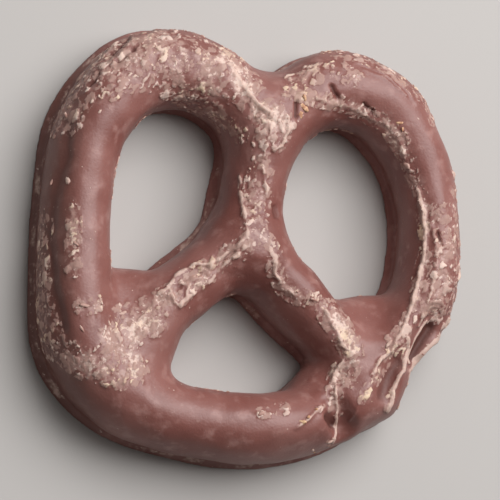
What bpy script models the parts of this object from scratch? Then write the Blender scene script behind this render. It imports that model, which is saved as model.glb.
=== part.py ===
"""Chocolate covered mini pretzel, lying on its flat sole with the two lobes towards +Y.

The dough strands and their coating are laid as rows of metaball elements. Their fields add up where
strands meet, as chocolate pools in the corners of a pretzel. The blend is thinned to the triangles it
needs and cut flat by the belt it set on, which leaves a thin foot of chocolate round its base.
Lengths are in millimetres until the last step, which turns the mesh to metres.
"""

import bpy
from mathutils import Matrix, Vector, noise

MM = 0.001
NODE = "pretzel"

# Driving sizes of a coated strand.
STRAND_HALF_WIDTH = 3.45
CREST_HEIGHT = 8.4
BULGE_HEIGHT = 3.9
FOOT_HALF_WIDTH = 3.5
FOOT_HEIGHT = 1.0

# Dipped strands swell, sag and spread unevenly along their length.
WIDTH_UNEVENNESS = 0.05
CREST_UNEVENNESS = 0.14
FOOT_UNEVENNESS = 0.16
UNEVENNESS_LENGTH = 6.0
WIDTH_LAYER = 0.5
CREST_LAYER = 4.5
FOOT_LAYER = 8.5

# How far each field reaches, as a share of its half width. More makes fuller corners.
STRAND_REACH = 2.1
FOOT_REACH = 1.6
POOL_REACH = 1.7
POOL_WAIST = 0.4
GROOVE_REACH = 1.8

ELEMENT_SPACING = 0.9
FIELD_THRESHOLD = 0.6
FIELD_RESOLUTION = 0.4
SKIN_VOXEL = 0.4
SKIN_SMOOTHING = 5
TRIANGLE_SHARE = 0.155
RELAX_SHARE = 0.4
RELAX_STEPS = 2
BELT_SIZE = 80

# Centre lines seen from above: x, y and the local width as a share of the strand's.
LEFT_LOBE = [
    (2.0, 12.4, 0.95),
    (-1.6, 15.6, 1.0),
    (-4.8, 17.6, 1.05),
    (-9.2, 18.5, 1.1),
    (-13.6, 16.0, 1.05),
    (-16.8, 11.0, 1.02),
    (-17.8, 5.4, 1.0),
    (-18.0, 0.0, 1.0),
    (-18.1, -5.4, 1.05),
    (-17.2, -10.4, 1.1),
]
BOTTOM_BAR = [
    (-13.8, -14.6, 1.05),
    (-8.2, -16.8, 1.0),
    (-2.7, -17.6, 1.0),
    (2.6, -17.5, 1.0),
    (6.4, -16.6, 0.98),
]
RIGHT_LOBE = [
    (9.6, -15.2, 0.9),
    (12.2, -13.8, 1.0),
    (13.2, -10.8, 0.92),
    (16.0, -7.6, 0.92),
    (18.1, -4.4, 0.95),
    (19.0, 1.0, 0.87),
    (18.6, 6.8, 0.88),
    (16.7, 12.0, 0.93),
    (13.2, 15.8, 1.0),
    (9.2, 17.4, 1.05),
    (5.4, 15.8, 1.0),
]
RING = LEFT_LOBE + BOTTOM_BAR + RIGHT_LOBE
STEM = [(1.3, 10.5, 0.88), (0.5, 6.8, 0.98), (-0.4, 2.4, 0.95)]
LEFT_ARM = [(-1.0, 1.0, 0.8), (-4.2, -1.9, 0.95), (-8.0, -4.9, 1.0), (-11.0, -7.1, 0.9)]
RIGHT_ARM = [(0.2, 0.6, 0.8), (2.7, -2.6, 0.9), (6.4, -6.1, 0.9), (9.4, -9.6, 0.7)]

# Chocolate pooled where strands meet: x, y, half width and height of each pool.
POOLS = [
    (-12.6, -5.0, 2.8, 5.2),
    (-11.6, -9.6, 3.8, 7.0),
    (12.0, -6.9, 3.2, 5.4),
    (11.0, -11.4, 3.0, 6.2),
    (7.4, -13.6, 2.4, 5.2),
    (0.2, 1.0, 2.4, 6.6),
]

# Breaks in the coating where the right arm wraps the ring: both ends, half width of each groove.
GROOVES = [
    ((18.0, -6.8, 8.0), (16.2, -9.8, 7.9), 1.1),
    ((13.8, -10.6, 8.5), (13.0, -13.4, 8.4), 0.9),
    ((7.6, -15.4, 8.3), (9.0, -17.9, 6.9), 1.0),
]


def smooth_path(points, closed):
    """Catmull-Rom points through the given ones, about ELEMENT_SPACING apart."""
    knots = [Vector(point) for point in points]
    count = len(knots)
    path = []
    for index in range(count if closed else count - 1):
        around = (index - 1, index, index + 1, index + 2)
        if not closed:
            around = (min(max(near, 0), count - 1) for near in around)
        a, b, c, d = (knots[near % count] for near in around)
        steps = max(1, round((c - b).length / ELEMENT_SPACING))
        for step in range(steps):
            t = step / steps
            cubic = (3 * b - a - 3 * c + d) * t**3
            path.append(0.5 * (2 * b + (c - a) * t + (2 * a - 5 * b + 4 * c - d) * t**2 + cubic))
    if not closed:
        path.append(knots[-1])
    return path


def add_element(field, place, half_width, reach, rise, stiffness):
    """One ellipsoid of influence, round from above, whose height over its centre is rise."""
    element = field.elements.new(type="ELLIPSOID")
    element.co = place
    element.radius = half_width * reach
    element.size_x = 1
    element.size_y = 1
    element.size_z = rise / half_width
    element.stiffness = stiffness
    return element


def row_stiffness(half_width, reach):
    """Stiffness that puts the surface of a long row of elements at half_width from its line.

    One element's field falls as (1 - distance**2 / radius**2)**3, and 32/35 is that fall summed along
    the row.
    """
    radius = half_width * reach
    return FIELD_THRESHOLD * ELEMENT_SPACING * 35 / (32 * radius * (1 - 1 / reach**2) ** 3.5)


def uneven(x, y, share, layer):
    """A factor near 1 that wanders along the strands, differently in each layer."""
    return 1 + share * noise.noise(Vector((x, y, 0)) / UNEVENNESS_LENGTH + Vector((0, 0, layer)))


def lay_strand(field, path):
    """The strand itself, and under it the low foot that the wet coating ran out to."""
    for x, y, share in path:
        half_width = STRAND_HALF_WIDTH * share * uneven(x, y, WIDTH_UNEVENNESS, WIDTH_LAYER)
        rise = (CREST_HEIGHT - BULGE_HEIGHT) * uneven(x, y, CREST_UNEVENNESS, CREST_LAYER)
        stiffness = row_stiffness(half_width, STRAND_REACH)
        add_element(field, (x, y, BULGE_HEIGHT), half_width, STRAND_REACH, rise, stiffness)
        half_width = FOOT_HALF_WIDTH * share * uneven(x, y, FOOT_UNEVENNESS, FOOT_LAYER)
        stiffness = row_stiffness(half_width, FOOT_REACH)
        add_element(field, (x, y, 0), half_width, FOOT_REACH, FOOT_HEIGHT, stiffness)


def pour_pool(field, x, y, half_width, height):
    """One wide, low element, widest at its waist: chocolate that filled a corner between strands."""
    stiffness = FIELD_THRESHOLD / (1 - 1 / POOL_REACH**2) ** 3
    waist = POOL_WAIST * height
    add_element(field, (x, y, waist), half_width, POOL_REACH, height - waist, stiffness)


def break_groove(field, start, end, half_width):
    """A row of negative elements along a crack in the coating."""
    start, end = Vector(start), Vector(end)
    steps = max(1, round((end - start).length / ELEMENT_SPACING))
    for step in range(steps + 1):
        place = start.lerp(end, step / steps)
        stiffness = row_stiffness(half_width, GROOVE_REACH)
        add_element(field, place, half_width, GROOVE_REACH, half_width, stiffness).use_negative = True


def coat_blend():
    """All strands, pools and grooves as one mesh, still rounded below the belt."""
    field = bpy.data.metaballs.new("coat")
    field.resolution = FIELD_RESOLUTION
    field.threshold = FIELD_THRESHOLD
    for points, closed in ((RING, True), (STEM, False), (LEFT_ARM, False), (RIGHT_ARM, False)):
        lay_strand(field, smooth_path(points, closed))
    for pool in POOLS:
        pour_pool(field, *pool)
    for groove in GROOVES:
        break_groove(field, *groove)
    return evaluated(link("coat", field))


def link(name, data):
    thing = bpy.data.objects.new(name, data)
    bpy.context.scene.collection.objects.link(thing)
    return thing


def evaluated(thing):
    """The object's mesh with its modifiers applied. The object itself is removed."""
    bpy.context.view_layer.update()
    graph = bpy.context.evaluated_depsgraph_get()
    mesh = bpy.data.meshes.new_from_object(thing.evaluated_get(graph))
    bpy.data.objects.remove(thing)
    return mesh


def thin_skin(mesh):
    """The same form in evenly smoothed skin, with only the triangles that it needs."""
    coat = link("coat", mesh)
    skin = coat.modifiers.new("skin", "REMESH")
    skin.mode = "VOXEL"
    skin.voxel_size = SKIN_VOXEL
    smooth = coat.modifiers.new("smooth", "SMOOTH")
    smooth.iterations = SKIN_SMOOTHING
    thin = coat.modifiers.new("thin", "DECIMATE")
    thin.ratio = TRIANGLE_SHARE
    relax = coat.modifiers.new("relax", "SMOOTH")
    relax.factor = RELAX_SHARE
    relax.iterations = RELAX_STEPS
    return evaluated(coat)


def cut_by_belt(mesh):
    """Everything below z = 0 is taken off flat."""
    bpy.ops.mesh.primitive_cube_add(size=BELT_SIZE, location=(0, 0, -BELT_SIZE / 2))
    belt = bpy.context.object
    coat = link("coat", mesh)
    cut = coat.modifiers.new("belt", "BOOLEAN")
    cut.object = belt
    cut.operation = "DIFFERENCE"
    mesh = evaluated(coat)
    bpy.data.objects.remove(belt)
    return mesh


def centre_on_sole(mesh):
    """Puts the middle of the sole's bounding box at the origin and turns millimetres to metres."""
    xs = [vertex.co.x for vertex in mesh.vertices]
    ys = [vertex.co.y for vertex in mesh.vertices]
    middle = Vector((min(xs) + max(xs), min(ys) + max(ys), 0)) / 2
    mesh.transform(Matrix.Scale(MM, 4) @ Matrix.Translation(-middle))


def milk_chocolate():
    coat = bpy.data.materials.new("milk_chocolate")
    coat.use_nodes = True
    shader = coat.node_tree.nodes["Principled BSDF"]
    shader.inputs["Base Color"].default_value = (0.21, 0.095, 0.075, 1)
    shader.inputs["Roughness"].default_value = 0.45
    return coat


def main():
    for old in list(bpy.data.objects):
        bpy.data.objects.remove(old)
    mesh = cut_by_belt(thin_skin(coat_blend()))
    centre_on_sole(mesh)
    mesh.materials.clear()
    mesh.materials.append(milk_chocolate())
    mesh.shade_smooth()
    mesh.name = NODE
    link(NODE, mesh)


main()
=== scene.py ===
"""Milk chocolate covered mini pretzel on a pale floor, shown side up.

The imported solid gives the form. A copy of it is rounded and gets the skin that such pretzels have:
satin flanks, and crests rubbed to pale crumbs, thin ridges and nicks. It stands for the solid.
The skin is worked in millimetres and the finished pieces are in metres.
"""

import math
import random

import bpy
import numpy as np
from mathutils import Matrix, Vector, noise


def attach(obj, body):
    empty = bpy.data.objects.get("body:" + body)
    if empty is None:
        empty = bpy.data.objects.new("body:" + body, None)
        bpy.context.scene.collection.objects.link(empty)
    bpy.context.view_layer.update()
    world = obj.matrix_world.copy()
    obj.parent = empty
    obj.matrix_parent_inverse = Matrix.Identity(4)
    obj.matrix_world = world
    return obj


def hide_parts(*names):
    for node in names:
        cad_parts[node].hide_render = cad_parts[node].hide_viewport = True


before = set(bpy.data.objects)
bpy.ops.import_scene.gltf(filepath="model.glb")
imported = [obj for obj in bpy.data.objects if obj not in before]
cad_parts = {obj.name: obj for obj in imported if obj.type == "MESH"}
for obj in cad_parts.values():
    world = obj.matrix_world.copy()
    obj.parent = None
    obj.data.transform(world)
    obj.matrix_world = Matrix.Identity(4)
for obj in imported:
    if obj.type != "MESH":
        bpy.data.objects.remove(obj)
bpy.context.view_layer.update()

MM = 0.001
NODE = "pretzel"

# The skin's grain while it is worked, and the triangles that the finished coat keeps.
SKIN_GRAIN = 0.115
SKIN_SETTLING = 8
MOST_TRIANGLES = 196000

# The crests lie near this height. The photographed side is seen along this lean from upright.
CREST = 8.6
LEAN = np.array((math.tan(math.radians(18)), math.tan(math.radians(8))))
SIGHT = np.array((-LEAN[0], -LEAN[1], 1)) / math.hypot(LEAN[0], LEAN[1], 1)

# Where the crests rubbed: half width, how hard, and a line on the crest plane, in mm.
RUBBED = {
    "left_lobe_shoulder": (2.1, 0.62, [
        (-20.9, 11.2), (-19.6, 13.9), (-17.7, 16.2), (-15.3, 18.0), (-12.7, 19.3)
    ]),
    "left_lobe_crest": (2.4, 0.75, [
        (-14.2, 18.0), (-11.6, 19.1), (-9.3, 19.1), (-7.1, 18.0), (-4.8, 16.7)
    ]),
    "left_lobe_inside": (2.0, 0.55, [
        (-16.4, 15.1), (-13.8, 16.0), (-10.4, 16.4), (-7.8, 15.5), (-5.6, 14.1)
    ]),
    "left_lobe_fall": (1.7, 1.7, [(-4.1, 17.5), (-2.6, 15.5), (-0.7, 13.3), (1.3, 11.9)]),
    "left_lobe_rim": (1.0, 0.6, [(-10.1, 14.4), (-7.8, 13.6), (-5.2, 12.1), (-2.6, 10.5)]),
    "notch_curl": (0.5, 1.0, [(2.4, 12.4), (2.3, 11.0), (1.6, 9.6), (0.8, 9.0)]),
    "stem_top": (1.3, 0.68, [(0.7, 11.5), (-0.2, 9.0), (-0.4, 6.9)]),
    "stem_crest": (1.6, 0.48, [(-0.4, 7.2), (-0.7, 4.7), (-1.1, 2.2), (-1.7, 0.1)]),
    "left_arm_crest": (1.2, 1.1, [
        (-2.2, -0.6), (-4.5, -2.4), (-6.7, -3.9), (-8.9, -5.5), (-10.6, -6.4)
    ]),
    "right_arm_upper": (0.9, 0.95, [
        (0.2, -0.1), (1.0, -1.7), (1.0, -3.2), (1.9, -4.8), (3.4, -5.5), (5.0, -5.7)
    ]),
    "right_arm_lower": (1.2, 1.45, [
        (6.3, -6.7), (7.5, -8.2), (8.7, -10.0), (9.1, -11.4), (8.2, -13.2)
    ]),
    "low_left_spots": (0.9, 0.8, [(-18.8, -7.3), (-17.3, -6.9)]),
    "low_left_patch": (2.0, 1.2, [(-12.1, -8.2), (-14.2, -8.9), (-15.3, -10.7), (-14.2, -13.2)]),
    "low_left_crest": (1.8, 0.75, [(-19.4, -12.3), (-17.2, -13.0), (-14.2, -13.5)]),
    "left_strand_column": (0.95, 0.85, [(-19.8, 1.9), (-19.6, -0.3), (-19.7, -3.5)]),
    "right_lobe_patch": (1.1, 0.5, [(3.0, 15.8), (5.2, 16.7), (8.0, 17.3), (9.3, 16.6)]),
    "right_inner_lip": (0.8, 0.95, [
        (12.7, 11.9), (14.2, 9.8), (15.1, 8.0), (16.4, 5.1), (16.8, 1.5), (16.7, -0.6),
        (16.1, -3.2), (15.5, -5.3), (14.5, -7.8), (13.2, -10.0), (11.6, -13.2)
    ]),
    "right_outer_rim": (0.5, 0.8, [
        (20.0, 5.8), (20.6, 4.4), (20.9, 1.5), (20.6, -1.0), (19.8, -3.5)
    ]),
    "bar_spots": (0.7, 0.5, [(-0.4, -17.1), (1.9, -16.6)]),
    "right_strand_crest": (1.8, 0.75, [
        (18.5, 2.9), (18.8, 1.5), (18.6, -2.1), (17.8, -5.3), (17.0, -6.7)
    ]),
    "knot_fin": (0.4, 0.5, [(19.1, -7.0), (18.5, -8.5), (17.2, -9.8)]),
    "knot_ridge": (0.5, 0.4, [(14.7, -8.5), (14.6, -11.0)]),
    "knot_outer": (0.45, 0.35, [(13.8, -13.2), (13.1, -14.6), (12.5, -16.4)]),
    "knot_lumps": (0.55, 0.95, [(12.9, -9.4), (12.8, -9.8)]),
    "knot_spots": (0.5, 0.6, [(10.8, -13.9), (10.3, -14.8), (9.9, -15.5)]),
    "right_lobe_ledge": (0.9, 0.85, [
        (2.6, 15.0), (5.2, 14.4), (7.8, 14.1), (10.3, 13.2), (12.5, 12.3), (14.2, 10.7)
    ]),
    "right_lobe_edge": (0.8, 0.2, [
        (6.3, 19.1), (9.3, 18.9), (12.3, 18.0), (14.7, 16.4), (16.6, 14.6), (17.7, 12.8)
    ]),
    "right_lobe_spots": (0.5, 0.95, [(7.1, 16.9), (8.8, 17.1)]),
    "arm_end": (0.85, 0.95, [(8.4, -11.4), (7.5, -12.8), (7.1, -14.3), (7.3, -16.4)]),
    "arm_end_loop": (0.4, 0.8, [(5.8, -16.2), (5.3, -16.6)]),
    "bar_edge_spots": (0.4, 0.8, [(6.8, -19.7), (6.7, -19.9)]),
    "left_flank": (1.5, 0.45, [(-23.3, 0.8), (-23.5, -2.1), (-23.1, -6.7), (-21.8, -11.6)]),
    "notch_cream": (1.0, 2.0, [(-2.0, 14.6), (-0.4, 12.8), (1.1, 12.0)]),
    "low_left_cream": (1.1, 1.7, [(-12.1, -8.7), (-14.0, -10.3), (-15.3, -11.4), (-18.1, -12.8)]),
    "arm_cream": (0.6, 1.8, [(7.3, -7.8), (8.4, -9.8), (8.8, -11.0), (7.6, -12.3)]),
}

# Thin ridges that the scraped coat stands up in: height, half width, raggedness, line.
RIDGES = {
    "notch_curl": (0.26, 0.16, 0.25, [(2.4, 12.4), (2.3, 11.0), (1.6, 9.6), (0.8, 9.0)]),
    "left_lobe_fall": (0.22, 0.3, 0.7, [(-3.7, 17.3), (-2.2, 15.3), (-0.4, 13.2), (1.3, 12.1)]),
    "stem_left": (0.2, 0.28, 0.7, [(-2.6, 6.2), (-2.2, 2.9), (-1.7, 0.1)]),
    "stem_right": (0.16, 0.25, 0.7, [(0.7, 11.5), (0.0, 9.0), (-0.2, 7.2), (0.1, 4.4)]),
    "right_arm_chain": (0.26, 0.26, 0.7, [
        (0.2, -0.1), (1.0, -1.7), (1.0, -3.2), (1.9, -4.8), (3.4, -5.5), (5.0, -5.7)
    ]),
    "right_strand_mid": (0.16, 0.25, 0.7, [
        (17.3, 2.9), (17.9, 0.1), (17.7, -2.8), (16.8, -5.7), (15.9, -7.8)
    ]),
    "right_outer_rim": (0.2, 0.2, 0.7, [
        (19.6, 7.6), (20.6, 4.4), (20.9, 1.5), (20.6, -1.0), (19.8, -3.5)
    ]),
    "knot_fin": (0.42, 0.17, 0.15, [
        (19.1, -7.0), (18.5, -8.5), (17.2, -9.8), (15.9, -11.2), (15.1, -12.3)
    ]),
    "recess_lip": (0.28, 0.16, 0.2, [
        (16.8, -7.3), (16.2, -8.2), (15.6, -9.2), (15.1, -10.5), (15.0, -11.6)
    ]),
    "knot_inner": (0.36, 0.2, 0.25, [
        (14.7, -9.1), (14.6, -11.0), (14.4, -12.3), (13.8, -13.2), (13.2, -14.4), (13.0, -15.5),
        (12.5, -16.4)
    ]),
    "knot_outer": (0.26, 0.17, 0.2, [(15.0, -12.3), (14.8, -13.5), (14.5, -15.0), (14.3, -16.4)]),
    "knot_bottom": (0.22, 0.18, 0.3, [(14.0, -17.0), (13.1, -17.6), (12.1, -18.4)]),
    "knot_short": (0.26, 0.22, 0.4, [(13.1, -10.5), (11.9, -11.4), (11.4, -12.3), (11.1, -12.9)]),
    "right_lobe_ledge": (0.12, 0.3, 0.9, [
        (2.8, 14.8), (5.2, 14.5), (7.8, 14.0), (10.3, 13.1), (12.3, 12.2), (14.0, 10.7)
    ]),
    "right_lip_top": (0.12, 0.25, 0.9, [(14.0, 10.7), (14.7, 8.7), (15.3, 7.2), (16.0, 5.8)]),
    "right_inner_lip": (0.38, 0.24, 0.4, [
        (16.0, 5.8), (16.6, 3.7), (16.8, 1.5), (16.7, -0.6), (16.1, -3.2), (15.5, -5.3),
        (14.7, -7.5)
    ]),
    "right_lip_low": (0.2, 0.22, 0.5, [(14.7, -7.5), (13.8, -9.1), (13.1, -10.5)]),
    "right_lobe_edge_1": (0.13, 0.15, 0.35, [
        (8.4, 18.8), (10.8, 18.4), (12.7, 17.6), (14.6, 16.0), (15.9, 14.2)
    ]),
    "right_lobe_edge_2": (0.12, 0.14, 0.35, [
        (9.3, 18.3), (11.2, 17.8), (13.1, 16.7), (14.7, 15.1)
    ]),
    "right_lobe_edge_3": (0.1, 0.13, 0.35, [(10.3, 17.6), (12.3, 16.9), (14.0, 15.5)]),
    "left_arm_upper": (0.22, 0.24, 0.65, [
        (-2.2, -0.1), (-3.7, -1.2), (-5.4, -2.5), (-7.6, -2.9), (-9.2, -3.9), (-9.9, -5.1),
        (-11.1, -5.7)
    ]),
    "left_arm_lower": (0.22, 0.25, 0.65, [
        (-2.0, -0.7), (-3.7, -2.1), (-5.4, -3.8), (-6.9, -5.3), (-8.1, -5.9), (-8.9, -6.8)
    ]),
    "left_arm_link_1": (0.2, 0.22, 0.5, [(-5.4, -2.5), (-6.0, -3.6)]),
    "left_arm_link_2": (0.18, 0.22, 0.5, [(-6.7, -3.9), (-7.8, -4.7), (-8.2, -5.9)]),
    "left_arm_link_3": (0.18, 0.22, 0.6, [(-9.9, -5.1), (-9.5, -6.4), (-8.9, -6.9)]),
    "right_arm_lower": (0.26, 0.24, 0.6, [
        (6.3, -6.7), (7.3, -8.5), (8.0, -10.0), (9.0, -10.9), (8.0, -11.9), (7.1, -13.2),
        (7.3, -14.4), (7.4, -16.1), (7.4, -17.3)
    ]),
    "arm_tail": (0.24, 0.16, 0.25, [(7.4, -17.3), (7.3, -18.4), (6.9, -19.8)]),
    "arm_crease": (0.14, 0.15, 0.3, [(9.6, -15.9), (9.3, -16.8), (8.8, -17.4)]),
    "arm_end_loop": (0.2, 0.2, 0.35, [(5.7, -16.3), (4.5, -17.4), (3.1, -18.5)]),
    "lobe_stroke_1": (0.16, 0.16, 0.4, [(-16.7, 17.7), (-14.7, 19.7)]),
    "lobe_stroke_2": (0.16, 0.16, 0.4, [(-15.7, 17.2), (-13.7, 19.1)]),
}

# Nicks, furrows and recesses between broken edges of the coat: as the ridges. Their depth also
# darkens the coat's colour, as painted shade.
NICKS = {
    "left_lobe_nick_2": (0.24, 0.2, 0.7, [(-15.3, 17.1), (-13.6, 18.4)]),
    "left_lobe_nick_3": (0.2, 0.18, 0.7, [(-18.1, 14.6), (-17.2, 15.8)]),
    "right_lobe_nick_1": (0.34, 0.2, 0.7, [(6.9, 15.8), (7.6, 14.6)]),
    "right_lobe_nick_2": (0.3, 0.2, 0.7, [(10.3, 14.1), (11.2, 13.3)]),
    "stem_nick": (0.22, 0.22, 0.7, [(1.0, 3.5), (1.2, 2.4)]),
    "strand_nick": (0.3, 0.2, 0.7, [(18.0, 1.5), (18.3, 0.4)]),
    "knot_recess": (0.6, 0.55, 0.15, [(17.2, -8.1), (16.5, -9.1), (15.9, -10.1), (15.4, -11.0)]),
    "knot_recess_low": (0.3, 0.6, 0.15, [(13.8, -11.6), (12.9, -13.0), (12.1, -15.0)]),
    "left_arm_furrow": (0.22, 0.24, 0.5, [(-3.2, -1.3), (-4.5, -2.1)]),
    "left_arm_pocket": (0.22, 0.28, 0.5, [(-6.7, -3.4), (-8.1, -3.9), (-8.9, -4.9)]),
    "arm_end_pit": (0.45, 0.4, 0.3, [(6.5, -17.3), (7.0, -18.1)]),
    "right_lobe_nick_3": (0.35, 0.18, 0.3, [(3.2, 14.0), (3.3, 12.4)]),
    "left_flank_furrow": (0.25, 0.6, 0.6, [
        (-20.3, 10.7), (-20.5, 7.4), (-21.8, 3.3), (-22.3, -0.4), (-21.7, -5.6), (-20.9, -9.4)
    ]),
    "left_lobe_nick_1": (0.3, 0.2, 0.4, [(-16.3, 17.5), (-14.2, 19.5)]),
}

# Where this pretzel's outline leaves the solid's even run: place, reach and sideways push, in mm.
OUTLINE_PUSHES = (
    (16.5, 17.0, 4.0, 0.35, 0.4),
    (16.6, -11.9, 1.8, -0.5, 0.25),
    (14.6, -16.2, 1.8, 0.5, -0.35),
)

# Fractal noise that shapes the skin: size of its lumps in mm, octaves and seed.
SWELLS = (4.2, 2, 2)
SMALL_SWELLS = (2.1, 1, 12)
DENTS = (1.1, 3, 3)
HIDDEN_PATCHES = (4.0, 2, 11)
RAGGED_EDGES = (2.6, 2, 1)
RAGGED_STREAKS = (0.9, 2, 8)
BREAKS = (1.1, 2, 5)
WANDER_ACROSS = (0.9, 2, 6)
WANDER_ALONG = (0.9, 2, 7)
NOISE_SEED = 5

# How far the skin swells, large and small, and how deep its dents are, unrubbed and rubbed, in mm.
SWELL_HEIGHT = 0.18
SMALL_SWELL_HEIGHT = 0.05
LEAST_DENT = 0.01
RUBBED_DENT = 0.1
# Skin that stands above this height is eased down, so the dressed part grows no taller.
HIGH = 9.0
HIGH_EASE = 0.3
# Heights in mm between which the relief, and the wear, fade in above the sole and the foot.
ABOVE_SOLE = (0.2, 1.0)
ABOVE_FOOT = (1.2, 3.2)
# How squarely skin faces the photographed view where traced wear, and traced ridges, fade in.
WEAR_IN_VIEW = (-0.05, 0.3)
RIDGE_IN_VIEW = (-0.1, 0.12)

# Wear ends this many half widths from a traced line, and is at its full this much nearer.
WEAR_REACH = 1.35
WEAR_FADE = 1.3
# The hardest wear, and the light wear of the sides that the photographed view doesn't reach.
MOST_WEAR = 1.35
HIDDEN_WEAR = 0.4
# How hard the outer edge of the foot was rubbed.
FOOT_WEAR = 0.75
# How much longer than wide the rubbed marks are, and the way they run.
STREAK = 1.5
STREAK_TURN = math.radians(58)
# How far a wholly ragged line wanders, in mm, and how much of its height the breaks take.
LINE_WANDER = 0.22
LINE_BREAKS = 1.3

# Crumbs of rubbed chocolate: size of each, height as a share of it, and how many of them show.
CRUMBS = ((1.0, 0.16, 0.07), (0.66, 0.22, 0.13), (0.4, 0.3, 0.2))
# Each is a cell of noise, bent out of round by this much at this scale. It ends this far from its
# middle, with a rim this wide, as shares of its size.
CRUMB_BEND = 0.4
CRUMB_BEND_SCALE = 2.1
CRUMB_END = 0.6
CRUMB_RIM = 0.34
# Crumbs lie only where the wear is more than this.
CRUMB_WEAR = 0.06

# A chip to copy: its size in each direction for one 1 mm long, how far its skin is pushed in and
# out, and the size of those bumps.
CHIP_SHAPE = (1.0, 0.55, 0.3)
CHIP_ROUGHNESS = 0.9
CHIP_BUMPS = 0.3 * MM
# How chips differ: tilt from the coat beneath, width and thickness.
CHIP_TILT = 0.3
CHIP_WIDTHS = (0.6, 1.1)
CHIP_THICKNESSES = (0.7, 1.2)
# How deep chips and crumbs sit in the coat, as a length for one 1 mm long.
CHIP_SINK = 0.05 * MM

# Loose chips of chocolate on the rubbed crests: how many are tried within this far of the middle,
# their lengths, the wear that they need, and how near another may lie. None sits on the highest
# places, which would make the part taller, or on steep ones.
CHIP_TRIES = 500
CHIP_SPREAD = 22
CHIP_LENGTHS = (0.3, 0.62)
CHIP_WEAR = 0.6
CHIP_GAP = 1.2
CHIP_CEILING = 8.9
CHIP_LEVEL = 0.5

# The larger chips: place on the crest plane and length, in mm.
NAMED_CHIPS = (
    (-20.6, 11.4, 0.9), (-17.1, 12.0, 0.7), (-22.0, 5.0, 0.8), (-20.3, 5.0, 1.0),
    (-18.6, -7.1, 1.1), (-16.8, -6.7, 0.7), (-14.8, -7.8, 0.9), (-18.8, -9.4, 0.7),
    (-13.5, 15.7, 0.8), (12.9, -9.7, 0.9), (14.8, 8.2, 0.9), (-0.4, -17.1, 0.8),
    (5.0, -5.7, 0.9), (6.8, -19.7, 0.8), (4.9, -20.6, 0.8),
)

# Crumbs of bare dough that stuck to the coat: place on the crest plane and length, in mm.
DOUGH_CRUMBS = (
    (4.1, 14.4, 0.9), (3.9, 13.6, 1.0), (3.7, 12.8, 0.8), (14.0, 12.4, 0.8), (14.4, 11.8, 0.5),
    (5.2, -16.5, 0.6), (4.5, -17.2, 0.8), (3.9, -17.8, 0.9), (5.1, -20.9, 0.6),
)

# The camera's distance and the width it takes in at the pretzel, in metres, and where it aims.
CAMERA_DISTANCE = 0.62
FRAME_WIDTH = 0.0495
AIM = Vector((-0.0002, -0.0004, 0.0043))

# Studio lights: direction from the pretzel, distance, size across and power.
LIGHTS = {
    "key": ((0.38, 0.38, 0.86), 0.36, 0.33, 2.2),
    "fill": ((-0.8, 0.1, 0.6), 0.4, 0.3, 0.08),
}
SKY_STRENGTH = 0.12


def smooth_step(low, high, value):
    t = np.clip((value - low) / (high - low), 0, 1)
    return t * t * (3 - 2 * t)


def linear(hex_colour):
    """An sRGB hex colour as the linear RGBA that sockets take."""
    parts = [int(hex_colour[i:i + 2], 16) / 255 for i in (1, 3, 5)]
    return [c / 12.92 if c <= 0.04045 else ((c + 0.055) / 1.055) ** 2.4 for c in parts] + [1]


def per(size):
    """Noise scale on coordinates in metres, for lumps of this size in mm."""
    return 1 / (size * MM)


def on_crest_plane(points):
    """Where the photographed side's line of sight through each point meets the crest plane."""
    return points[:, :2] - (CREST - points[:, 2:]) * LEAN


def line_distance(plan, line):
    """Distance from each point to a line through the given knots."""
    nearest = np.full(len(plan), np.inf)
    for start, end in zip(np.array(line[:-1]), np.array(line[1:])):
        along = end - start
        t = np.clip((plan - start) @ along / (along @ along), 0, 1)
        gap = plan - start - t[:, None] * along
        nearest = np.minimum(nearest, np.hypot(gap[:, 0], gap[:, 1]))
    return nearest


def lumps(points, size, octaves, seed):
    """Fractal noise, about -1 to 1, in lumps of about this size in mm."""
    offset = Vector((seed * 17.3, seed * 5.1, seed * 9.7))
    return np.array([noise.fractal(Vector(p) / size + offset, 1.0, 2.0, octaves) for p in points])


def vertices(mesh):
    points = np.empty(len(mesh.vertices) * 3, np.float32)
    mesh.vertices.foreach_get("co", points)
    return points.reshape(-1, 3).astype(float)


def normals(mesh):
    directions = np.empty(len(mesh.vertices) * 3, np.float32)
    mesh.vertex_normals.foreach_get("vector", directions)
    return directions.reshape(-1, 3).astype(float)


def store(mesh, name, values):
    attribute = mesh.attributes.new(name, "FLOAT", "POINT")
    attribute.data.foreach_set("value", values.astype(np.float32))


def rounded_copy():
    """The solid's copy in millimetres, its facets rounded, in an even skin."""
    bpy.ops.object.select_all(action="DESELECT")
    coat = bpy.data.objects.new("chocolate_coat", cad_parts[NODE].data.copy())
    bpy.context.scene.collection.objects.link(coat)
    bpy.context.view_layer.objects.active = coat
    coat.select_set(True)
    coat.data.transform(Matrix.Scale(1 / MM, 4))
    bpy.ops.object.mode_set(mode="EDIT")
    bpy.ops.mesh.select_all(action="SELECT")
    bpy.ops.mesh.remove_doubles(threshold=0.001)
    bpy.ops.object.mode_set(mode="OBJECT")
    round_off = coat.modifiers.new("round_off", "SUBSURF")
    round_off.levels = round_off.render_levels = 1
    skin = coat.modifiers.new("skin", "REMESH")
    skin.mode = "VOXEL"
    skin.voxel_size = SKIN_GRAIN
    settle = coat.modifiers.new("settle", "SMOOTH")
    settle.iterations = SKIN_SETTLING
    for name in ("round_off", "skin", "settle"):
        bpy.ops.object.modifier_apply(modifier=name)
    return coat


def push_outline(points):
    """Moves the points sideways where this pretzel's outline bulges or draws in."""
    for u, v, reach, push_u, push_v in OUTLINE_PUSHES:
        near = np.exp(-(((points[:, 0] - u) ** 2 + (points[:, 1] - v) ** 2) / reach**2))
        points[:, :2] += near[:, None] * (push_u, push_v)


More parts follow.
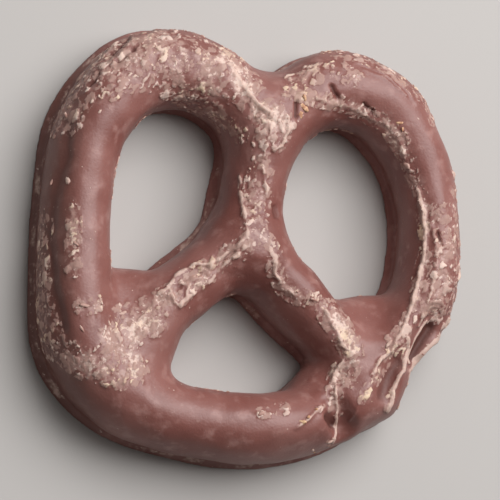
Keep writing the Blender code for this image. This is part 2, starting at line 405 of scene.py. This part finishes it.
def streaks(points):
    """The points squeezed along the way the pretzels rubbed, so that noise there comes out long."""
    cos, sin = math.cos(STREAK_TURN), math.sin(STREAK_TURN)
    along = points[:, 0] * cos + points[:, 1] * sin
    across = points[:, 1] * cos - points[:, 0] * sin
    return np.stack([along / STREAK, across, points[:, 2]], 1)


def rubbing(plan):
    """How hard each point was rubbed: fully along the traced lines, and less beside them."""
    amount = np.zeros(len(plan))
    for half_width, strength, line in RUBBED.values():
        near = WEAR_REACH - line_distance(plan, line) / half_width
        amount = np.maximum(amount, strength * smooth_step(0, WEAR_FADE, near))
    return amount


def ragged_wear(points, directions, plan, seen, ragged):
    """The traced wear, and light patches where the photographed view doesn't reach, all ragged."""
    patchy = smooth_step(0.02, 0.45, lumps(points, *HIDDEN_PATCHES))
    hidden = patchy * smooth_step(1.5, 5.0, points[:, 2])
    upward = smooth_step(-0.5, 0.0, directions[:, 2])
    wear = np.maximum(rubbing(plan) * seen, HIDDEN_WEAR * hidden * (1 - seen) * upward)
    return np.clip(wear * (0.85 + ragged) - 0.03, 0, np.maximum(MOST_WEAR, wear))


def traced_relief(table, plan, wander, breaks=None):
    """How high, or deep, the table's lines make each point. They wander, and breaks gap them."""
    relief = np.zeros(len(plan))
    for height, half_width, raggedness, line in table.values():
        distance = line_distance(plan + LINE_WANDER * raggedness * wander, line)
        profile = np.exp(-(distance / half_width) ** 2)
        if breaks is not None:
            profile *= np.clip(0.85 + LINE_BREAKS * raggedness * breaks, 0.1, 1.2)
        relief = np.maximum(relief, height * profile)
    return relief


def crumb_relief(points, flow, wear):
    """Raised crumbs where the coat was rubbed: each point's rise, place inside a crumb and tone."""
    rise, inside, tone = np.zeros((3, len(points)))
    rubbed = np.flatnonzero(wear > CRUMB_WEAR)
    for seed, (size, height, share) in enumerate(CRUMBS):
        offset = Vector((seed * 31.7, seed * 11.3, 4.1))
        for index in rubbed:
            place = Vector(flow[index]) / size + offset
            place += CRUMB_BEND * noise.noise_vector(place * CRUMB_BEND_SCALE)
            distances, centres = noise.voronoi(place)
            centre = centres[0]
            # Two odd scales make two unlike numbers for the cell: whether it shows, and its tone.
            if noise.cell(centre * 7.31) > share * wear[index]:
                continue
            own = noise.cell(centre * 3.77)
            t = min(max((CRUMB_END - distances[0]) / CRUMB_RIM, 0), 1)
            rise[index] = max(rise[index], t * t * (3 - 2 * t) * (0.5 + 0.5 * own) * height * size)
            if t > inside[index]:
                inside[index], tone[index] = t, own
    return rise, inside, tone


def foot_rim(points, directions, ragged):
    """The outer edge of the foot, rubbed in places."""
    outward = (directions * points)[:, :2].sum(1) / np.hypot(points[:, 0], points[:, 1])
    rim = smooth_step(0.2, 0.6, points[:, 2]) * smooth_step(1.5, 1.0, points[:, 2])
    facing_out = smooth_step(0.0, 0.4, outward)
    return rim * (FOOT_WEAR * facing_out * np.clip(0.7 + 1.2 * ragged, 0, 1))


def scrape(coat):
    """Gives the even skin its swells, dents, crumbs, ridges and nicks, and marks where they are and
    where shade is painted.
    """
    points, directions = vertices(coat.data), normals(coat.data)
    push_outline(points)
    plan = on_crest_plane(points)
    facing = directions @ SIGHT
    above_foot = smooth_step(*ABOVE_FOOT, points[:, 2])
    seen = smooth_step(*WEAR_IN_VIEW, facing) * above_foot

    flow = streaks(points)
    ragged = 0.9 * lumps(points, *RAGGED_EDGES) + 0.7 * lumps(flow, *RAGGED_STREAKS)
    wear = ragged_wear(points, directions, plan, seen, ragged)

    wander = np.stack([lumps(points, *WANDER_ACROSS), lumps(points, *WANDER_ALONG)], 1)
    ridge = traced_relief(RIDGES, plan, wander, lumps(points, *BREAKS))
    ridge *= smooth_step(*RIDGE_IN_VIEW, facing) * above_foot
    nick = traced_relief(NICKS, plan, wander) * seen
    # How far the coat is broken open. This also sets the painted shade in the nicks.
    broken_open_and_shade = np.clip(nick / 0.4, 0, 1)
    wear *= 1 - 0.85 * broken_open_and_shade

    rise, inside, tone = crumb_relief(points, flow, wear)
    swell = SWELL_HEIGHT * lumps(points, *SWELLS)
    swell += SMALL_SWELL_HEIGHT * lumps(points, *SMALL_SWELLS)
    dents = (LEAST_DENT + RUBBED_DENT * wear) * lumps(points, *DENTS)
    relief = (swell + dents + rise + ridge - nick) * smooth_step(*ABOVE_SOLE, points[:, 2])
    moved = points + directions * relief[:, None]
    over = np.maximum(moved[:, 2] - HIGH, 0)
    moved[:, 2] -= over * over / (over + HIGH_EASE)
    coat.data.vertices.foreach_set("co", moved.astype(np.float32).ravel())

    edge = np.maximum(np.clip(ridge / 0.2, 0, 1), foot_rim(points, directions, ragged))
    store(coat.data, "wear", np.maximum(wear, 0.6 * edge))
    store(coat.data, "edge", edge**2)
    store(coat.data, "crumb", inside)
    store(coat.data, "tone", tone)
    # Where the coat is broken open: less haze, and a deeper brown that is partly fresh chocolate and
    # partly painted shade, darker the deeper the nick.
    store(coat.data, "nick", 0.9 * broken_open_and_shade)
    # Painted shade on the left strand's outer flank, the skin that faces away from the key light.
    painted_flank_shade = smooth_step(-0.2, -0.75, directions[:, 0]) * smooth_step(-14.0, -20.0, plan[:, 0])
    store(coat.data, "painted_flank_shade", 0.5 * painted_flank_shade)


def finish_coat(coat):
    triangles = sum(len(face.vertices) - 2 for face in coat.data.polygons)
    if triangles > MOST_TRIANGLES:
        thin = coat.modifiers.new("thin", "DECIMATE")
        thin.ratio = MOST_TRIANGLES / triangles
        bpy.ops.object.modifier_apply(modifier="thin")
    coat.data.transform(Matrix.Scale(MM, 4))
    coat.data.shade_smooth()
    coat.data.materials.clear()
    coat.data.materials.append(milk_chocolate())
    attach(coat, "root")
    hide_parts(NODE)


def plain_chip():
    """A chip to copy, 1 mm long: a small ball, flattened."""
    bpy.ops.object.select_all(action="DESELECT")
    bpy.ops.mesh.primitive_ico_sphere_add(subdivisions=2, radius=0.5 * MM, location=(0, 0, 0))
    chip = bpy.context.object
    bpy.ops.object.mode_set(mode="EDIT")
    bpy.ops.mesh.select_all(action="SELECT")
    bpy.ops.transform.resize(value=CHIP_SHAPE, center_override=(0, 0, 0))
    bpy.ops.object.mode_set(mode="OBJECT")
    return chip


def scatter(chip, name, material, beds):
    """Copies of the chip, each roughened its own way and sunk a little in the coat at its bed."""
    draw = random.Random(name)
    copies = []
    for place, normal, size in beds:
        copy = chip.copy()
        copy.data = chip.data.copy()
        bpy.context.scene.collection.objects.link(copy)
        shift = Vector([draw.uniform(0, 90) for _ in range(3)])
        for vertex in copy.data.vertices:
            vertex.co *= 1 + CHIP_ROUGHNESS * noise.noise(vertex.co / CHIP_BUMPS + shift)
        tilt = Vector([draw.gauss(0, CHIP_TILT) for _ in range(3)])
        turn = (normal + tilt).to_track_quat("Z", "X").to_matrix().to_4x4()
        spin = Matrix.Rotation(draw.uniform(0, 2 * math.pi), 4, "Z")
        width = size * draw.uniform(*CHIP_WIDTHS)
        thickness = size * draw.uniform(*CHIP_THICKNESSES)
        stretch = Matrix.Diagonal((size, width, thickness, 1))
        sunk = Matrix.Translation(place - CHIP_SINK * size * normal)
        copy.data.transform(sunk @ turn @ spin @ stretch)
        copies.append(copy)
    bpy.ops.object.select_all(action="DESELECT")
    for copy in copies:
        copy.select_set(True)
    bpy.context.view_layer.objects.active = copies[0]
    bpy.ops.object.join()
    joined = bpy.context.object
    joined.name = joined.data.name = name
    joined.data.materials.clear()
    joined.data.materials.append(material)
    joined.data.shade_smooth()
    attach(joined, "root")


def bed_at(coat, u, v):
    """Place, normal and face where the photographed view meets the coat, through this point."""
    start = (Vector((u, v, CREST)) + 20 * Vector(SIGHT)) * MM
    _, place, normal, face = coat.ray_cast(start, -Vector(SIGHT))
    return place, normal, face


def traced_beds(coat, traced):
    return [(*bed_at(coat, u, v)[:2], length) for u, v, length in traced]


def chip_beds(coat):
    """Where chips cling: the larger ones' places, and others over the hardest rubbed crests."""
    beds = traced_beds(coat, NAMED_CHIPS)
    wear = coat.data.attributes["wear"].data
    draw = random.Random(4)
    for _ in range(CHIP_TRIES):
        u, v = (draw.uniform(-CHIP_SPREAD, CHIP_SPREAD) for _ in range(2))
        length = draw.uniform(*CHIP_LENGTHS)
        place, normal, face = bed_at(coat, u, v)
        if face < 0 or place.z > CHIP_CEILING * MM or normal.z < CHIP_LEVEL:
            continue
        worn = min(wear[corner].value for corner in coat.data.polygons[face].vertices)
        if worn > CHIP_WEAR and all((place - bed[0]).length > CHIP_GAP * MM for bed in beds):
            beds.append((place, normal, length))
    return beds


def add(tree, kind, inputs=None, out=0, **settings):
    """Adds a node with its settings and its inputs set or linked, and gives the named output."""
    made = tree.nodes.new(kind)
    for name, value in settings.items():
        setattr(made, name, value)
    for name, value in (inputs or {}).items():
        if isinstance(value, bpy.types.NodeSocket):
            tree.links.new(value, made.inputs[name])
        else:
            made.inputs[name].default_value = value
    return made.outputs[out]


def patches(tree, place, size, low, high, most=1.0, worn=0.0, by=0.0):
    """Ragged patches of this size in mm, where noise, raised by wear, passes from low to high."""
    cloud = add(tree, "ShaderNodeTexNoise", {"Vector": place, "Scale": per(size), "Detail": 3})
    level = add(tree, "ShaderNodeMath", {0: worn, 1: by, 2: cloud}, operation="MULTIPLY_ADD")
    return add(tree, "ShaderNodeMapRange", {
        "Value": level, "From Min": low, "From Max": high, "To Max": most,
    }, interpolation_type="SMOOTHSTEP")


def milk_chocolate():
    """Tempered milk chocolate, dipped, then rubbed against its neighbours in a bag.

    What that gives the eye: a satin skin in two close browns, with a wide soft sheen. Where it was
    rubbed, a greyish pink haze of fat and sugar, cream specks and crumbs, and pale broken edges.
    Fresh breaks are a deeper, redder brown, partly their own and partly painted shade that deepens
    with the nick. The left flank, which faces away from the key light, gets painted shade in a
    deeper, redder brown.
    """
    material = bpy.data.materials.new("satin_milk_chocolate")
    material.use_nodes = True
    tree = material.node_tree
    shader = tree.nodes["Principled BSDF"]
    place = add(tree, "ShaderNodeTexCoord", out="Object")
    wear, crumb, tone, edge, painted_flank_shade, nick = (
        add(tree, "ShaderNodeAttribute", attribute_name=mark, out="Fac")
        for mark in ("wear", "crumb", "tone", "edge", "painted_flank_shade", "nick")
    )
    warm = patches(tree, place, 3.5, 0.45, 0.7)
    cream = add(tree, "ShaderNodeMix", {
        0: warm, 6: linear("#d9c0b4"), 7: linear("#e0c5a8"),
    }, data_type="RGBA", out=2)
    own_tone = add(tree, "ShaderNodeMath", {0: tone, 1: 1.5}, operation="POWER")
    crumb_colour = add(tree, "ShaderNodeMix", {
        0: own_tone, 6: linear("#a27f75"), 7: cream,
    }, data_type="RGBA", out=2)
    specks = patches(tree, place, 0.42, 0.71, 0.8, 0.8, wear, 0.2)
    crumbs = patches(tree, place, 0.25, 0.8, 1.35, 0.95, crumb, 1.25)
    broken_edges = patches(tree, place, 0.5, 0.84, 1.33, 0.75, edge, 1.1)
    colour = linear("#7b4b44")
    for mask, finish in (
        # Smooth chocolate: broad drifts of a second brown, and small paler ones.
        (patches(tree, place, 6.0, 0.35, 0.65), linear("#8a5c55")),
        (patches(tree, place, 1.4, 0.5, 0.75), linear("#986e67")),
        # Painted shade: a deeper brown on the left flank, which faces away from the key light, and
        # in fresh breaks and nicks, whose brown is partly their own.
        (painted_flank_shade, linear("#5a352c")),
        (nick, linear("#4c251d")),
        # Rubbed chocolate: haze, cream smears where it rubbed hardest, specks, and gaps between them
        # where the skin still shows.
        (patches(tree, place, 0.8, 0.66, 0.94, 0.9, wear, 0.48), linear("#a8847b")),
        (patches(tree, place, 0.7, 0.95, 1.35, 0.85, wear, 0.5), linear("#cdaea1")),
        (specks, cream),
        (patches(tree, place, 0.5, 0.66, 0.76, 0.55, wear, 0.06), linear("#8a5c53")),
        # What stands up from it.
        (crumbs, crumb_colour),
        (broken_edges, linear("#cdb0a3")),
    ):
        colour = add(tree, "ShaderNodeMix", {
            0: mask, 6: colour, 7: finish,
        }, data_type="RGBA", out=2)
    tree.links.new(colour, shader.inputs["Base Color"])
    loose = add(tree, "ShaderNodeMath", {0: specks, 1: crumbs}, operation="MAXIMUM")
    loose = add(tree, "ShaderNodeMath", {0: loose, 1: broken_edges}, operation="MAXIMUM")
    dull = add(tree, "ShaderNodeMath", {0: loose, 1: nick}, operation="MAXIMUM")
    rough = add(tree, "ShaderNodeMapRange", {"Value": dull, "To Min": 0.44, "To Max": 0.68})
    tree.links.new(rough, shader.inputs["Roughness"])
    shader.inputs["IOR"].default_value = 1.46
    shader.inputs["Specular IOR Level"].default_value = 0.55
    shader.inputs["Subsurface Weight"].default_value = 0.08
    shader.inputs["Subsurface Radius"].default_value = (0.0012, 0.0006, 0.0004)
    shader.inputs["Subsurface Scale"].default_value = 1
    # The dust of rubbed chocolate is finer than this grain, which is as coarse as it needs to show.
    grain = add(tree, "ShaderNodeTexNoise", {"Vector": place, "Scale": per(0.22), "Detail": 3})
    grain = add(tree, "ShaderNodeMath", {0: loose, 1: 0.5, 2: grain}, operation="MULTIPLY_ADD")
    bump = add(tree, "ShaderNodeBump", {"Height": grain, "Strength": 0.35, "Distance": 0.00008})
    tree.links.new(bump, shader.inputs["Normal"])
    return material


def dry_crumb(name, dark, light, size):
    """Broken chocolate or baked dough: dull, in two shades that drift over this size in mm."""
    material = bpy.data.materials.new(name)
    material.use_nodes = True
    tree = material.node_tree
    shader = tree.nodes["Principled BSDF"]
    place = add(tree, "ShaderNodeTexCoord", out="Object")
    drift = patches(tree, place, size, 0.35, 0.65)
    colour = add(tree, "ShaderNodeMix", {
        0: drift, 6: linear(dark), 7: linear(light),
    }, data_type="RGBA", out=2)
    tree.links.new(colour, shader.inputs["Base Color"])
    shader.inputs["Roughness"].default_value = 0.7
    return material


def pale_card():
    """Matt card, pale and even, which leaves the pretzel's own tones to show."""
    material = bpy.data.materials.new("pale_card")
    material.use_nodes = True
    shader = material.node_tree.nodes["Principled BSDF"]
    shader.inputs["Base Color"].default_value = linear("#b3afac")
    shader.inputs["Roughness"].default_value = 0.9
    return material


def lay_floor():
    bpy.ops.object.select_all(action="DESELECT")
    bpy.ops.mesh.primitive_plane_add(size=3, location=(0, 0, 0))
    floor = bpy.context.object
    floor.name = "floor"
    floor.data.materials.append(pale_card())


def turned_towards(direction):
    """Rotation that puts local Z along direction and keeps the image's up near +Y."""
    back = Vector(direction).normalized()
    right = Vector((0, 1, 0)).cross(back).normalized()
    return Matrix((right, back.cross(right), back)).transposed().to_quaternion()


def set_up(thing, name, at, direction):
    """Stands a camera or lamp at a place, facing back along the direction."""
    placed = bpy.data.objects.new(name, thing)
    placed.rotation_mode = "QUATERNION"
    placed.rotation_quaternion = turned_towards(direction)
    placed.location = at
    bpy.context.scene.collection.objects.link(placed)
    return placed


def set_camera():
    lens = bpy.data.cameras.new("camera")
    lens.sensor_width = 36
    lens.lens = lens.sensor_width * CAMERA_DISTANCE / FRAME_WIDTH
    lens.clip_start, lens.clip_end = 0.05, 10
    towards = Vector((-LEAN[0], -LEAN[1], 1)).normalized()
    camera = set_up(lens, "camera", AIM + towards * CAMERA_DISTANCE, towards)
    bpy.context.scene.camera = camera


def light_studio():
    for name, (direction, distance, size, power) in LIGHTS.items():
        lamp = bpy.data.lights.new(name, "AREA")
        lamp.size = size
        lamp.energy = power
        direction = Vector(direction).normalized()
        set_up(lamp, name, AIM + direction * distance, direction)
    world = bpy.data.worlds.new("studio")
    bpy.context.scene.world = world
    world.use_nodes = True
    sky = world.node_tree.nodes["Background"]
    sky.inputs["Color"].default_value = linear("#fffaf6")
    sky.inputs["Strength"].default_value = SKY_STRENGTH
    bpy.context.scene.view_settings.view_transform = "Standard"


# Without a seed, vector noise takes one from the clock and no two runs are alike.
noise.seed_set(NOISE_SEED)
coat = rounded_copy()
scrape(coat)
finish_coat(coat)
chip = plain_chip()
scraped = dry_crumb("scraped_milk_chocolate", "#a3796e", "#dabfb1", 1.6)
scatter(chip, "chocolate_chips", scraped, chip_beds(coat))
dough = dry_crumb("bare_baked_dough", "#aa775a", "#deb792", 0.4)
scatter(chip, "dough_crumbs", dough, traced_beds(coat, DOUGH_CRUMBS))
bpy.data.objects.remove(chip)
lay_floor()
set_camera()
light_studio()
